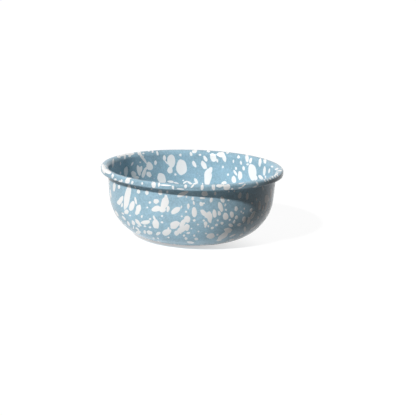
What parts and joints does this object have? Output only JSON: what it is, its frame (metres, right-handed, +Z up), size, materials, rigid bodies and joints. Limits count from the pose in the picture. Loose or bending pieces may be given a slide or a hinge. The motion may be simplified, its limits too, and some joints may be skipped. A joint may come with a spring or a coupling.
{
  "type": "enamel bowl",
  "caption": "Round enamelled steel bowl with a steep wall, a wide rounded corner, a rolled rim and a recessed base, blue with white splatter, for serving food.",
  "frame": {"origin": "on the bowl's axis, at the level of the ring that it stands on", "axes": "+Z up along the bowl's axis; X and Y are alike, because the bowl is a body of revolution"},
  "size_m": [0.152, 0.152, 0.059],
  "materials": {
    "steel": "bare low-carbon enamelling steel",
    "ground_enamel": "dark vitreous ground coat",
    "blue_enamel": "glossy vitreous enamel, blue",
    "white_enamel": "glossy vitreous enamel, white splatter fused on the blue"
  },
  "bodies": {
    "root": {"steel_bowl": "steel", "ground_coat_inside": "ground_enamel", "ground_coat_outside": "ground_enamel", "cover_coat_inside": "blue_enamel", "cover_coat_outside": "blue_enamel"}
  },
  "joints": []
}
